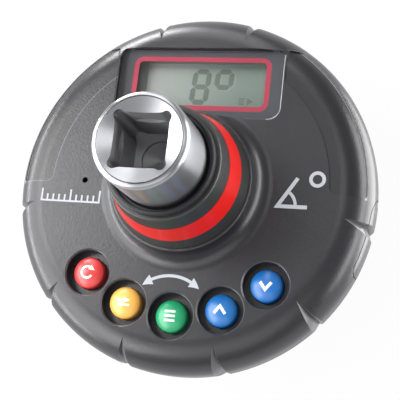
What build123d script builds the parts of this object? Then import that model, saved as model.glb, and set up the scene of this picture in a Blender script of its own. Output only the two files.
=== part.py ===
from build123d import *
import os
from math import acos, cos, degrees, radians, sin, tan

# In-line digital torque tester with a half-inch square drive. A steel torsion
# shaft runs through a round two-part case. Its front end is a socket that
# takes a wrench, and its rear end is a male square with a sprung ball.
# Lengths are in millimetres. The origin is on the drive axis, at the shoulder
# where a fitted socket stops. +Z points out of the front, +Y to the display.

# Drive shaft
male_square = 12.7
male_length = 15.5
male_corner_diameter = 16.9
male_tip_bevel = 1.0
rear_journal_radius = 12.0
flange_low = 5.5
flange_thickness = 3.5
flange_rim = 3.0
torsion_blend = 2.5
collar_radius = 11.5
collar_length = 26.5
collar_step = 3.0
collar_edge_round = 1.3
female_square = 12.9
female_depth = 17.0
female_corner_relief = 1.35
female_relief_inset = 0.9
female_relief_blend = 2.8
dish_margin = 1.45
dish_depth = 0.9
catch_groove_from_tip = 6.7
catch_groove_depth = 1.05
catch_groove_width = 3.0
floor_recess_radius = 4.7
floor_recess_depth = 1.0

# Ball catch in the male square
ball_radius = 2.4
ball_proud = 1.0
ball_from_shoulder = 8.0
ball_clearance = 0.08
ball_hole_depth = 9.0
catch_spring_radius = 1.8
catch_spring_wire = 0.5
catch_spring_turns = 4

# Case
case_radius = 48.6
case_depth = 27.0
rear_gap = 1.5
shoulder_radius = 8.6
band_height = 2.9
rear_taper = 22.0
rear_edge_radius = 3.0
wall = 2.2
rear_cover_height = 6.5
spigot_height = 2.0
spigot_thickness = 1.2
spigot_clearance = 0.1
boss_rim = 3.0

# Grip notches, in pairs on each side of the lower and the upper centre
notch_pitch = 32.5
notch_pair_counts = {-90.0: 3, 90.0: 1}
notch_depth = 1.5
notch_fade_radius = 9.4
notch_steep_run = 0.6
notch_gentle_run = 2.6
notch_steep_round = 0.9
notch_gentle_round = 3.0
notch_round_run = 1.2

# Shallow crescent recesses beside the display
crescent_inset = 2.0
crescent_width = 9.3
crescent_low_y = -0.6
crescent_rise = 0.3
crescent_rib = 0.6
crescent_depth = 0.35
crescent_corner = 2.0
crescent_other_corner = 0.8

# Turret round the shaft
collar_reach = 40.0
lip_width = 0.7
lip_height = 5.7
lip_round = 0.4
boss_fillet = 4.5
neck_clearance = 0.05
turret_rim = 1.0
turret_height = 16.4
turret_flare = 3.4
turret_waist_flare = 1.5
turret_waist_height = 7.3
turret_edge_round = 0.5
turret_wall = 2.0
turret_flange_width = 2.3
turret_flange_thickness = 1.8
throat_clearance = 0.9
throat_length = 3.0
band_from_lip = 4.2
band_width = 6.4
band_proud = 0.12
band_groove = 0.7
seal_width = 2.1
seal_seat_depth = 4.6
seal_proud = 1.9
seal_lip = 1.0
seal_lip_bevel = 0.3
seal_valley = 1.6

# Display, between the turret and the rim
pocket_from_neck = 0.75
pocket_rim = 10.7
pocket_top_corner = 1.8
pocket_low_corner = 3.0
pocket_wall = 1.2
pocket_edge_round = 0.4
lens_depth = 1.6
lens_thickness = 1.2
lens_clearance = 0.1
lens_side_margin = 4.9
lens_low_margin = 3.75
lens_high_margin = 3.0
mask_thickness = 0.3
view_width = 35.6
view_corner = 1.3
ledge_thickness = 1.4
ledge_setback = 1.0
lcd_depth = 6.5
lcd_thickness = 2.2
lcd_view_margin = 1.4
lcd_view_rise = 0.75
lcd_side_border = 1.8
lcd_end_border = 1.05
lcd_frame_wall = 1.0
lcd_frame_lip = 0.5
lcd_clearance = 0.1
zebra_thickness = 1.8
zebra_inset = 0.3
zebra_end_gap = 1.7

# Circuit board
board_depth = 10.5
board_thickness = 1.6
board_edge_gap = 3.6
board_bore_gap = 5.5
board_gap = 0.3
board_post_radius = 2.5
board_post_gap = 0.8
board_screw_angles = (35.0, 145.0, -90.0)
board_screw_radius = 1.0
board_screw_length = 6.0
board_screw_head_radius = 1.9
board_screw_head_height = 1.3
board_screw_key = 0.75
board_screw_key_depth = 0.7

# Buttons and the switches below them
button_names = ("clear", "unit", "memory", "up", "down")
button_inset = 14.44
button_centre_angle = -90.0
button_pitch = 21.92
button_dome_radius = 6.0
button_edge_round = 0.8
button_rise = 0.4
button_wall = 1.1
button_roof = 1.2
button_travel = 0.8
button_gap = 0.2
button_flange_width = 1.2
button_flange_thickness = 0.9
well_margin = 1.81
well_rib = 1.07
well_depth = 3.3
well_floor = 1.2
well_wall = 1.2
well_bevel = 0.35
switch_width = 6.2
switch_height = 2.5
switch_shell = 0.4
switch_base = 0.2
switch_rest_gap = 0.1
stem_radius = 1.5
stem_foot_width = 0.5
stem_foot_height = 0.7
stem_clearance = 0.15

# Battery, its holder and its door
door_angle = -11.5
door_width = 21.2
door_front_margin = 4.9
door_seam_margin = 1.2
door_upper_corner = 5.6
door_lower_corner = 2.8
door_wall = 2.0
door_gap = 0.25
door_pry_radius = 1.5
door_lug_inset = 1.3
door_lug_thickness = 1.2
door_lug_height = 7.0
door_pad_radius = 3.8
door_contact_radius = 3.2
door_contact_depth = 3.6
door_contact_thickness = 0.3
cell_nub_radius = 2.5
cell_nub_length = 1.0
cell_contact_gap = 0.1
holder_margin = 0.1
holder_wall = 0.85
holder_clearance = 0.25
holder_mouth_gap = 3.2
holder_shaft_gap = 2.1
holder_flange_lap = 0.4
holder_flange_thickness = 1.0
holder_end_wall = 0.8
cell_spring_gap = 3.0
cell_spring_sheet = 0.4
cell_spring_width = 5.0
cell_spring_reach = 4.0

# Screws
case_screw_inset = 12.1
case_screw_upper_angle = 33.0
case_screw_from_button_angle = 14.66
case_post_radius = 3.2
rear_post_radius = 4.0
case_screw_radius = 1.4
case_screw_length = 14.0
case_screw_sink = 3.2
flange_screw_inset = 4.0
flange_screw_count = 4
flange_screw_radius = 1.4
flange_screw_length = 5.0
flange_screw_sink = 2.1
screw_head_radius = 2.4
screw_head_height = 2.0
screw_key = 1.25
screw_key_depth = 1.1
screw_clearance = 0.05
head_clearance = 0.2

# Inner electrical pieces
gauge_count = 4
gauge_lift = 7.5
gauge_width = 5.0
gauge_length = 9.0
gauge_thickness = 0.2
gauge_flat_depth = 0.4
gauge_flat_margin = 2.5
ribbon_angle = 180.0
ribbon_width = 5.0
ribbon_thickness = 0.2
ribbon_lift = 0.7
ribbon_bend = 1.2
ribbon_landing = 1.2
socket_length = 4.0
socket_width = 7.0
socket_height = 1.8
buzzer_inset = 20.7
buzzer_radius = 4.5
buzzer_height = 3.0
buzzer_port_depth = 1.0
buzzer_hole_radius = 0.8
gyro_place = (26.0, 10.0)
gyro_width = 4.0
gyro_height = 1.1
chip_height = 1.4
chip_layout = ((-25.0, -9.0, 9.0, 9.0), (-12.0, -26.0, 6.0, 5.0), (13.0, -27.0, 5.0, 4.0))
rear_bore_clearance = 0.15
rear_ring_width = 1.2
rear_ring_height = 1.2

# A cutter runs this far past the surface that it cuts
overshoot = 1.0

# A rounded edge runs this far past the surface that it meets
edge_lap = 0.01

# Heights that follow from the sizes above
rear_z = rear_gap
face_z = rear_z + case_depth
tip_z = face_z + collar_reach
torsion_top = tip_z - collar_length
nose_z = face_z - shoulder_radius
band_z = nose_z - band_height
seam_z = rear_z + rear_cover_height
plate_z = face_z - wall
board_z = face_z - board_depth
board_back_z = board_z - board_thickness
flange_top = flange_low + flange_thickness
gauge_z = board_z + gauge_lift
ring_z = (rear_z + flange_low) / 2
lip_z = face_z + lip_height
turret_z = lip_z + turret_height
seal_z = turret_z - seal_seat_depth
band_low_z = lip_z + band_from_lip
lens_z = face_z - lens_depth
mask_z = lens_z - lens_thickness
ledge_z = mask_z - mask_thickness
lcd_z = face_z - lcd_depth
lcd_back_z = lcd_z - lcd_thickness
well_back_z = face_z - well_depth - well_floor
switch_top_z = board_z + switch_height
cap_foot_z = switch_top_z + button_travel + switch_rest_gap
stem_foot_z = board_z + switch_base + button_travel + switch_rest_gap
door_low_z = seam_z + door_seam_margin
door_height = face_z - door_front_margin - door_low_z
door_z = door_low_z + door_height / 2

# Radii and places that follow, from the shaft outwards
torsion_radius = collar_radius - collar_step
dish_radius = collar_radius - dish_margin
catch_groove_radius = female_square / 2 + catch_groove_depth
gauge_flat = torsion_radius - gauge_flat_depth
gauge_flat_length = gauge_length + 2 * gauge_flat_margin
flange_screw_circle = rear_journal_radius + flange_screw_inset
flange_radius = flange_screw_circle + flange_rim
boss_radius = flange_radius + boss_rim
board_bore = torsion_radius + board_bore_gap
ribbon_end_radius = board_bore + ribbon_landing
turret_throat = collar_radius + throat_clearance
seal_outer_radius = collar_radius + seal_width
turret_top_radius = seal_outer_radius + turret_rim
turret_waist_radius = turret_top_radius + turret_waist_flare
neck_radius = turret_top_radius + turret_flare
lip_radius = neck_radius + lip_width
turret_flange_radius = neck_radius + turret_flange_width
board_screw_circle = turret_flange_radius + board_post_radius + board_post_gap
nose_centre = case_radius - shoulder_radius
board_radius = case_radius - wall - board_edge_gap
case_screw_circle = case_radius - case_screw_inset
crescent_outer_radius = case_radius - crescent_inset
crescent_inner_radius = crescent_outer_radius - crescent_width
ball_x = male_square / 2 + ball_proud - ball_radius
ball_hole_x = male_square / 2 - ball_hole_depth

# Display outlines that follow
pocket_low_y = neck_radius + pocket_from_neck
pocket_high_y = case_radius - pocket_rim
pocket_half_width = view_width / 2 + lens_side_margin
view_low_y = pocket_low_y + lens_low_margin
view_high_y = pocket_high_y - lens_high_margin
view_height = view_high_y - view_low_y
view_centre_y = (view_low_y + view_high_y) / 2
lcd_view_width = view_width - 2 * lcd_view_margin
lcd_view_height = view_height + 2 * lcd_view_rise
lcd_width = lcd_view_width + 2 * lcd_side_border
lcd_height = lcd_view_height + 2 * lcd_end_border
crescent_high_y = pocket_high_y + crescent_rise

# Places of the sounder, the buttons and the screws beside them
buzzer_x = buzzer_inset - case_radius
button_circle = case_radius - button_inset
well_radius = button_circle * sin(radians(button_pitch / 2)) - well_rib / 2
button_radius = well_radius - well_margin
last_button_angle = button_centre_angle + (len(button_names) - 1) / 2 * button_pitch
case_screw_lower_angle = last_button_angle + case_screw_from_button_angle

# Places along the battery's radius, from the door inwards and from the shaft outwards
holder_radius = door_height / 2 - holder_margin
holder_bore = holder_radius - holder_wall
cell_radius = holder_bore - holder_clearance
holder_mouth_radius = case_radius - wall - holder_mouth_gap
pad_start = case_radius - door_contact_depth
contact_start = pad_start - door_contact_thickness
cell_tip_radius = contact_start - cell_contact_gap
holder_start = torsion_radius + holder_shaft_gap
spring_start = holder_start + holder_end_wall
cell_start = spring_start + cell_spring_gap

far = 4 * case_radius
MIDDLE_LOW = (Align.CENTER, Align.CENTER, Align.MIN)


def polar(radius, angle):
    """Point in the plane of the case at a radius and an angle in degrees."""
    return (radius * cos(radians(angle)), radius * sin(radians(angle)))


def rod(radius, low, high, at=(0, 0)):
    """Upright round rod between two heights."""
    return Pos(at[0], at[1], low) * Cylinder(radius, high - low, align=MIDDLE_LOW)


def tube(outer, inner, low, high, at=(0, 0)):
    """Upright tube between two heights."""
    return rod(outer, low, high, at) - rod(inner, low - overshoot, high + overshoot, at)


def block(width, depth, low, high, at=(0, 0)):
    """Upright box between two heights, centred on a point."""
    return Pos(at[0], at[1], low) * Box(width, depth, high - low, align=MIDDLE_LOW)


def radial_rod(radius, start, end, height, angle=door_angle):
    """Round rod that lies along a radius of the case."""
    bar = Rot(0, 90, 0) * Cylinder(radius, end - start, align=MIDDLE_LOW)
    return Rot(0, 0, angle) * Pos(start, 0, height) * bar


def radial_block(start, end, width, low, high, angle=door_angle):
    """Box that lies along a radius of the case."""
    return Rot(0, 0, angle) * block(end - start, width, low, high, ((start + end) / 2, 0))


def slab(low, high):
    """Everything between two heights."""
    return rod(far, low, high)


def corner_of(section, point):
    """Vertex of a flat section that lies nearest a point."""
    return section.vertices().sort_by_distance((point[0], point[1], 0))[0]


def turned(points, rounds=()):
    """Body of revolution from radius and height points, with some corners rounded."""
    section = make_face(Polyline(*points, close=True))
    for place, radius in rounds:
        section = fillet(corner_of(section, points[place]), radius)
    return revolve(Plane.XZ * section, Axis.Z)


def cap_screw(at, seat, length, radius, head_radius, head_height, key, key_depth):
    """Screw driven from behind, with its head below the seat and a hexagon recess."""
    low = seat - head_height
    screw = rod(head_radius, low, seat, at) + rod(radius, seat, seat + length, at)
    return screw - extrude(Pos(at[0], at[1], low) * RegularPolygon(key, 6), key_depth)


# Surfaces of the case that several pieces share

def case_form(inset):
    """Closed outer form of the case, drawn inwards by a wall."""
    nose = shoulder_radius - inset
    low = rear_z + inset
    lean = radians(rear_taper)
    turn_end = (nose_centre + nose * cos(lean), band_z - nose * sin(lean))
    corner = (turn_end[0] - (turn_end[1] - low) * tan(lean), low)
    section = make_face([
        Line((0, low), (0, face_z - inset)),
        Line((0, face_z - inset), (nose_centre, face_z - inset)),
        CenterArc((nose_centre, nose_z), nose, 90, -90),
        Line((nose_centre + nose, nose_z), (nose_centre + nose, band_z)),
        CenterArc((nose_centre, band_z), nose, 0, -rear_taper),
        Line(turn_end, corner),
        Line(corner, (0, low)),
    ])
    edge = max(rear_edge_radius - inset, rear_edge_radius / 4)
    section = fillet(corner_of(section, corner), edge)
    return revolve(Plane.XZ * section, Axis.Z)


def case_inner_radius(height):
    """Radius of the inner wall on the tapered stretch behind the band."""
    nose = shoulder_radius - wall
    lean = radians(rear_taper)
    turn_height = band_z - nose * sin(lean)
    return nose_centre + nose * cos(lean) - (turn_height - height) * tan(lean)


def case_shell(low, high):
    """Stretch of the hollow case between two heights."""
    return (case_form(0) - case_form(wall)) & slab(low, high)


def notch_section(side):
    """Section of a grip notch, with rounded edges."""
    floor = case_radius - notch_depth
    crest = case_radius + edge_lap
    outer = crest + notch_depth
    steep = side * notch_steep_run
    gentle = -side * notch_gentle_run
    run = side * notch_round_run
    section = make_face(Polyline(
        (floor, 0),
        (crest, steep),
        (crest, steep + run),
        (outer, steep + run),
        (outer, gentle - run),
        (crest, gentle - run),
        (crest, gentle),
        close=True,
    ))
    section = fillet(corner_of(section, (crest, steep)), notch_steep_round)
    return fillet(corner_of(section, (crest, gentle)), notch_gentle_round)


def grip_notches():
    """Ratchet-shaped grooves that run over the shoulder and down the side."""
    floor = case_radius - notch_depth
    swing = Axis((floor - notch_fade_radius, 0, nose_z), (0, -1, 0))
    cutters = []
    for centre, count in notch_pair_counts.items():
        for step in range(count):
            for side in (-1, 1):
                profile = Pos(0, 0, nose_z) * notch_section(side)
                groove = revolve(profile, swing, 90) + extrude(profile, -case_depth)
                cutters.append(Rot(0, 0, centre + side * (step + 0.5) * notch_pitch) * groove)
    return cutters


def crescent_recesses():
    """Shallow recesses that follow the face and the shoulder beside the display."""
    left = pocket_half_width + crescent_rib
    height = crescent_high_y - crescent_low_y
    window = Pos(left + far / 2, crescent_low_y + height / 2) * Rectangle(far, height)
    sheet = (Circle(crescent_outer_radius) - Circle(crescent_inner_radius)) & window
    inner_corner = (crescent_inner_radius, crescent_low_y)
    others = [v for v in sheet.vertices() if v != corner_of(sheet, inner_corner)]
    sheet = fillet(others, crescent_other_corner)
    sheet = fillet(corner_of(sheet, inner_corner), crescent_corner)
    skin = case_form(-overshoot) - case_form(crescent_depth)
    right = extrude(Pos(0, 0, nose_z) * sheet, shoulder_radius + overshoot) & skin
    return [right, mirror(right, Plane.YZ)]


def door_prism(shrink, start, end):
    """Outline of the battery door, carried along its radius of the case."""
    height = door_height - 2 * shrink
    sheet = Pos(0, door_z) * Rectangle(door_width - 2 * shrink, height)
    upper = min(door_upper_corner - shrink, height / 2.1)
    sheet = fillet(sheet.vertices().group_by(Axis.X)[-1], upper)
    sheet = fillet(sheet.vertices().group_by(Axis.X)[0], min(door_lower_corner - shrink, upper))
    return Rot(0, 0, door_angle) * Pos(start, 0, 0) * extrude(Plane.YZ * sheet, end - start)


def turret_skin(shift):
    """Flared outer form of the turret above the lip, moved outwards by a shift."""
    foot = (neck_radius + shift, lip_z)
    waist = (turret_waist_radius + shift, lip_z + turret_waist_height)
    rim = (turret_top_radius + shift, turret_z)
    section = make_face([
        Line((0, lip_z), foot),
        ThreePointArc(foot, waist, rim),
        Line(rim, (0, turret_z)),
        Line((0, turret_z), (0, lip_z)),
    ])
    section = fillet(corner_of(section, rim), turret_edge_round)
    return revolve(Plane.XZ * section, Axis.Z)


def pocket_outline(grow):
    """Outline of the display pocket, larger by an allowance."""
    width = 2 * (pocket_half_width + grow)
    height = pocket_high_y - pocket_low_y + 2 * grow
    sheet = Pos(0, (pocket_high_y + pocket_low_y) / 2) * Rectangle(width, height)
    sheet = fillet(sheet.vertices().group_by(Axis.Y)[-1], pocket_top_corner + grow)
    return fillet(sheet.vertices().group_by(Axis.Y)[0], pocket_low_corner + grow)


def view_outline(grow):
    """Outline of the viewing window in the mask, larger by an allowance."""
    sheet = RectangleRounded(view_width + 2 * grow, view_height + 2 * grow, view_corner + grow)
    return Pos(0, view_centre_y) * sheet


def button_places():
    """Centres of the buttons on their arc below the turret."""
    middle = (len(button_names) - 1) / 2
    angles = [button_centre_angle + (i - middle) * button_pitch for i in range(len(button_names))]
    return [polar(button_circle, angle) for angle in angles]


def case_screw_places():
    right = (case_screw_upper_angle, case_screw_lower_angle)
    return [polar(case_screw_circle, angle) for angle in (*right, *(180 - angle for angle in right))]


def board_screw_places():
    return [polar(board_screw_circle, angle) for angle in board_screw_angles]


def flange_screw_places():
    step = 360 / flange_screw_count
    return [polar(flange_screw_circle, (i + 0.5) * step) for i in range(flange_screw_count)]


# Drive train

def torsion_shaft():
    """One steel piece: male square, flange, gauged neck and front socket."""
    dish_floor = tip_z - dish_depth * dish_radius / (dish_radius - female_square / 2)
    body = turned([
        (0, 0),
        (rear_journal_radius, 0),
        (rear_journal_radius, flange_low),
        (flange_radius, flange_low),
        (flange_radius, flange_top),
        (torsion_radius, flange_top),
        (torsion_radius, torsion_top),
        (collar_radius, torsion_top),
        (collar_radius, tip_z),
        (dish_radius, tip_z),
        (0, dish_floor),
    ], [(5, torsion_blend), (6, torsion_blend), (8, collar_edge_round)])
    square = block(male_square, male_square, -male_length, 0)
    square &= rod(male_corner_diameter / 2, -male_length, 0)
    square = chamfer(square.faces().sort_by(Axis.Z)[0].edges(), male_tip_bevel)
    shaft = body + square - female_socket()
    for place in flange_screw_places():
        shaft -= rod(flange_screw_radius + screw_clearance, 0, flange_top + overshoot, place)
    for i in range(gauge_count):
        low = gauge_z - gauge_flat_length / 2
        angle = i * 360 / gauge_count
        shaft -= radial_block(gauge_flat, 2 * gauge_flat, far, low, low + gauge_flat_length, angle)
    hole_radius = ball_radius + ball_clearance
    return shaft - radial_rod(hole_radius, ball_hole_x, male_square, -ball_from_shoulder, 0)


def female_socket():
    """Square hole with relieved corners, a catch groove and a recessed floor."""
    floor = tip_z - female_depth
    reach = female_square / 2 - female_relief_inset
    sheet = Rectangle(female_square, female_square)
    for x in (-reach, reach):
        for y in (-reach, reach):
            sheet += Pos(x, y) * Circle(female_corner_relief)
    sheet = fillet(sheet.vertices(), female_relief_blend)
    hole = extrude(Pos(0, 0, floor) * sheet, female_depth)
    middle = tip_z - catch_groove_from_tip
    half = catch_groove_width / 2
    slope = catch_groove_radius - female_square / 2
    groove = turned([
        (0, middle - half),
        (catch_groove_radius - slope, middle - half),
        (catch_groove_radius, middle),
        (catch_groove_radius - slope, middle + half),
        (0, middle + half),
    ])
    return hole + groove + rod(floor_recess_radius, floor - floor_recess_depth, floor)


def catch_ball():
    return Pos(ball_x, 0, -ball_from_shoulder) * Sphere(ball_radius)


def catch_spring():
    """Helical spring of square wire between the ball and the end of its hole."""
    length = ball_x - ball_radius - ball_hole_x - catch_spring_wire
    path = Helix(length / catch_spring_turns, length, catch_spring_radius)
    section = Plane(origin=path @ 0, z_dir=path % 0) * Rectangle(catch_spring_wire, catch_spring_wire)
    spring = Rot(0, 90, 0) * sweep(section, path=path, is_frenet=True)
    return Pos(ball_hole_x + catch_spring_wire / 2, 0, -ball_from_shoulder) * spring


def strain_gauges():
    low = gauge_z - gauge_length / 2
    end = gauge_flat + gauge_thickness
    step = 360 / gauge_count
    return [radial_block(gauge_flat, end, gauge_width, low, low + gauge_length, i * step)
            for i in range(gauge_count)]


def gauge_ribbon():
    """Flat cable from the gauges, bent outwards to its connector."""
    top = gauge_z - gauge_length / 2
    low = board_z + ribbon_lift
    outer = gauge_flat + ribbon_thickness
    section = make_face(Polyline(
        (gauge_flat, top),
        (outer, top),
        (outer, low + ribbon_thickness),
        (ribbon_end_radius, low + ribbon_thickness),
        (ribbon_end_radius, low),
        (gauge_flat, low),
        close=True,
    ))
    section = fillet(corner_of(section, (gauge_flat, low)), ribbon_bend + ribbon_thickness)
    section = fillet(corner_of(section, (outer, low + ribbon_thickness)), ribbon_bend)
    strip = extrude(Plane.XZ * section, ribbon_width / 2, both=True)
    return Rot(0, 0, ribbon_angle) * strip


# Case

def front_cover():
    """Front moulding with the face, the turret boss, the wells and the posts."""
    cover = case_shell(seam_z, face_z)
    for recess in crescent_recesses():
        cover -= recess
    inside = plate_z + wall / 2
    for place in case_screw_places():
        cover += rod(case_post_radius, seam_z, inside, place)
    for place in board_screw_places():
        cover += rod(board_post_radius, board_z, inside, place)
    for place in button_places():
        cover += rod(well_radius + well_wall, well_back_z, inside, place)
    pocket_back = ledge_z - ledge_thickness
    cover += extrude(Pos(0, 0, pocket_back) * pocket_outline(pocket_wall), inside - pocket_back)
    cover = (cover & case_form(0)) + turret_boss()
    cover -= rod(neck_radius + neck_clearance, seam_z, tip_z)
    for place in button_places():
        cover -= rod(well_radius, face_z - well_depth, face_z + overshoot, place)
        cover -= Pos(place[0], place[1], 0) * well_mouth()
        cover -= rod(button_radius + button_gap, seam_z, face_z, place)
    cover -= extrude(Pos(0, 0, ledge_z) * pocket_outline(0), collar_reach)
    cover -= pocket_mouth()
    cover -= extrude(Pos(0, 0, seam_z) * view_outline(ledge_setback), case_depth)
    cover -= rod(buzzer_hole_radius, board_z, face_z + overshoot, (buzzer_x, 0))
    for notch in grip_notches():
        cover -= notch
    for place in case_screw_places():
        end = rear_z + case_screw_sink + case_screw_length + screw_clearance
        cover -= rod(case_screw_radius + screw_clearance, seam_z - overshoot, end, place)
    for place in board_screw_places():
        end = board_back_z + board_screw_length + screw_clearance
        cover -= rod(board_screw_radius + screw_clearance, board_z - overshoot, end, place)
    return cover - door_prism(0, nose_centre, far)


def turret_boss():
    """Raised ring that the turret stands in, blended into the face."""
    bore = neck_radius + neck_clearance
    foot = lip_radius + boss_fillet
    section = make_face([
        Line((bore, plate_z), (bore, lip_z)),
        Line((bore, lip_z), (lip_radius, lip_z)),
        Line((lip_radius, lip_z), (lip_radius, face_z + boss_fillet)),
        CenterArc((foot, face_z + boss_fillet), boss_fillet, 180, 90),
        Line((foot, face_z), (foot, plate_z)),
        Line((foot, plate_z), (bore, plate_z)),
    ])
    section = fillet(corner_of(section, (lip_radius, lip_z)), lip_round)
    return revolve(Plane.XZ * section, Axis.Z)


def well_mouth():
    """Cutter that bevels the edge of a button well."""
    reach = well_bevel + overshoot
    low = face_z - well_bevel
    return Pos(0, 0, low) * Cone(well_radius, well_radius + reach, reach, align=MIDDLE_LOW)


def pocket_mouth():
    """Cutter that rounds the edge of the display pocket."""
    low = face_z - 2 * pocket_edge_round + edge_lap
    height = 2 * pocket_edge_round
    around = Pos(0, 0, low) * pocket_outline(height)
    plate = extrude(around, height)
    frame = plate - extrude(Pos(0, 0, low) * pocket_outline(0), height)
    edges = frame.faces().sort_by(Axis.Z)[-1].inner_wires()[0].edges()
    return plate - fillet(edges, pocket_edge_round)


def rear_cover():
    """Rear moulding with the spigot, the shaft boss and the screw posts."""
    cover = case_shell(rear_z, seam_z)
    inside = rear_z + wall / 2
    cover += rod(boss_radius, inside, flange_low)
    for place in case_screw_places():
        cover += rod(rear_post_radius, inside, seam_z, place)
    outer = case_inner_radius(seam_z) - spigot_clearance
    inner = outer - spigot_thickness
    spigot = tube(outer, inner, seam_z - spigot_height, seam_z + spigot_height)
    holder_low = door_low_z - board_gap
    holder_room = door_width + 2 * (holder_flange_lap + board_gap)
    cover += spigot - radial_block(boss_radius, far, holder_room, holder_low, face_z)
    below = rear_z - overshoot
    cover -= rod(rear_journal_radius + rear_bore_clearance, below, seam_z)
    groove_half = rear_ring_height / 2 + screw_clearance
    cover -= rod(rear_journal_radius + rear_ring_width, ring_z - groove_half, ring_z + groove_half)
    for place in case_screw_places():
        cover -= rod(screw_head_radius + head_clearance, below, rear_z + case_screw_sink, place)
        cover -= rod(case_screw_radius + screw_clearance, rear_z, seam_z + overshoot, place)
    for place in flange_screw_places():
        cover -= rod(screw_head_radius + head_clearance, below, rear_z + flange_screw_sink, place)
        cover -= rod(flange_screw_radius + screw_clearance, rear_z, flange_top, place)
    for notch in grip_notches():
        cover -= notch
    return cover


def turret_sleeve():
    """Flared sleeve that stands in the boss and carries the seal and the band."""
    low = plate_z - turret_flange_thickness
    key = pocket_low_y - pocket_wall - board_gap
    flange = rod(turret_flange_radius, low, plate_z) - block(far, far, low, plate_z, (0, key + far / 2))
    sleeve = turret_skin(0) + rod(neck_radius, low, lip_z) + flange
    sleeve -= turned([
        (0, low - overshoot),
        (neck_radius - turret_wall, low - overshoot),
        (neck_radius - turret_wall, lip_z),
        (turret_throat, seal_z - throat_length),
        (turret_throat, tip_z),
        (0, tip_z),
    ])
    sleeve -= rod(seal_outer_radius, seal_z, tip_z)
    return sleeve - band_ring(overshoot)


def band_ring(proud):
    """Ring between two heights of the flared turret."""
    ring = turret_skin(proud) - turret_skin(-band_groove)
    return ring & slab(band_low_z, band_low_z + band_width)


def colour_band():
    return band_ring(band_proud)


def front_seal():
    """Rubber ring round the collar, with a raised outer lip and a wiping inner lip."""
    top = turret_z + seal_proud
    valley = top - seal_valley
    lip_inner = seal_outer_radius - seal_lip
    return turned([
        (collar_radius, seal_z),
        (seal_outer_radius, seal_z),
        (seal_outer_radius, top - seal_lip_bevel),
        (seal_outer_radius - seal_lip_bevel, top),
        (lip_inner + seal_lip_bevel, top),
        (lip_inner, top - seal_lip_bevel),
        (lip_inner, valley),
        (collar_radius + seal_lip / 2, valley),
        (collar_radius, top - seal_lip / 2),
    ])


def rear_ring():
    """Sealing ring between the shaft and the rear cover."""
    half = rear_ring_height / 2
    outer = rear_journal_radius + rear_ring_width
    return tube(outer, rear_journal_radius, ring_z - half, ring_z + half)


# Display

def display_lens():
    return extrude(Pos(0, 0, mask_z) * pocket_outline(-lens_clearance), lens_thickness)


def display_mask():
    sheet = pocket_outline(-lens_clearance) - view_outline(0)
    return extrude(Pos(0, 0, ledge_z) * sheet, mask_thickness)


def lcd_panel():
    return block(lcd_width, lcd_height, lcd_back_z, lcd_z, (0, view_centre_y))


def lcd_frame():
    """Frame on the board that holds the display glass and borders its view."""
    grow = 2 * (lcd_clearance + lcd_frame_wall)
    room = 2 * lcd_clearance
    centre = (0, view_centre_y)
    frame = block(lcd_width + grow, lcd_height + grow, board_z, lcd_z + lcd_frame_lip, centre)
    frame -= block(lcd_width + room, lcd_height + room, board_z - overshoot, lcd_z, centre)
    return frame - block(lcd_view_width, lcd_view_height, board_z, face_z, centre)


def zebra_strips():
    """Elastic contact strips between the board and the display glass."""
    offset = lcd_height / 2 - zebra_thickness / 2 - zebra_inset
    length = lcd_width - 2 * zebra_end_gap
    return [block(length, zebra_thickness, board_z, lcd_back_z, (0, view_centre_y + side * offset))
            for side in (-1, 1)]


# Circuit board and what it carries

def main_board():
    board = tube(board_radius, board_bore, board_back_z, board_z)
    for place in case_screw_places():
        board -= rod(case_post_radius + board_gap, seam_z, face_z, place)
    for place in board_screw_places():
        board -= rod(board_screw_radius + screw_clearance, seam_z, face_z, place)
    return board - radial_block(0, far, 2 * (holder_radius + board_gap), seam_z, face_z)


def board_chips():
    return [block(width, depth, board_back_z - chip_height, board_back_z, (x, y))
            for x, y, width, depth in chip_layout]


def gyro_sensor():
    return block(gyro_width, gyro_width, board_back_z - gyro_height, board_back_z, gyro_place)


def buzzer():
    """Sounder below its hole in the face."""
    top = board_z + buzzer_height
    port = rod(buzzer_hole_radius, top - buzzer_port_depth, top + overshoot, (buzzer_x, 0))
    return rod(buzzer_radius, board_z, top, (buzzer_x, 0)) - port


def ribbon_socket():
    start = ribbon_end_radius
    top = board_z + socket_height
    return radial_block(start, start + socket_length, socket_width, board_z, top, ribbon_angle)


def switch_bodies():
    """Hollow housings of the push switches."""
    bodies = []
    for place in button_places():
        body = block(switch_width, switch_width, board_z, switch_top_z, place)
        room = 2 * (stem_radius + stem_foot_width + stem_clearance)
        body -= block(room, room, board_z + switch_base, switch_top_z - switch_shell, place)
        bodies.append(body - rod(stem_radius + stem_clearance, board_z + switch_base, face_z, place))
    return bodies


def switch_stem(place):
    """Plunger of a push switch, with the foot that keeps it in its housing."""
    stem = rod(stem_radius, stem_foot_z, cap_foot_z, place)
    return stem + rod(stem_radius + stem_foot_width, stem_foot_z, stem_foot_z + stem_foot_height, place)


def button_cap(place):
    """Domed cap with a hidden flange and a middle post that meets the switch."""
    apex = face_z + button_rise
    rim_angle = degrees(acos(button_radius / button_dome_radius))
    dome_z = apex - button_dome_radius * (1 - sin(radians(rim_angle)))
    top = well_back_z - button_gap
    low = top - button_flange_thickness
    roof = dome_z - button_roof
    inner = button_radius - button_wall
    outer = button_radius + button_flange_width
    section = make_face([
        Line((0, cap_foot_z), (stem_radius, cap_foot_z)),
        Line((stem_radius, cap_foot_z), (stem_radius, roof)),
        Line((stem_radius, roof), (inner, roof)),
        Line((inner, roof), (inner, low)),
        Line((inner, low), (outer, low)),
        Line((outer, low), (outer, top)),
        Line((outer, top), (button_radius, top)),
        Line((button_radius, top), (button_radius, dome_z)),
        CenterArc((0, apex - button_dome_radius), button_dome_radius, rim_angle, 90 - rim_angle),
        Line((0, apex), (0, cap_foot_z)),
    ])
    section = fillet(corner_of(section, (button_radius, dome_z)), button_edge_round)
    return Pos(place[0], place[1], 0) * revolve(Plane.XZ * section, Axis.Z)


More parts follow.
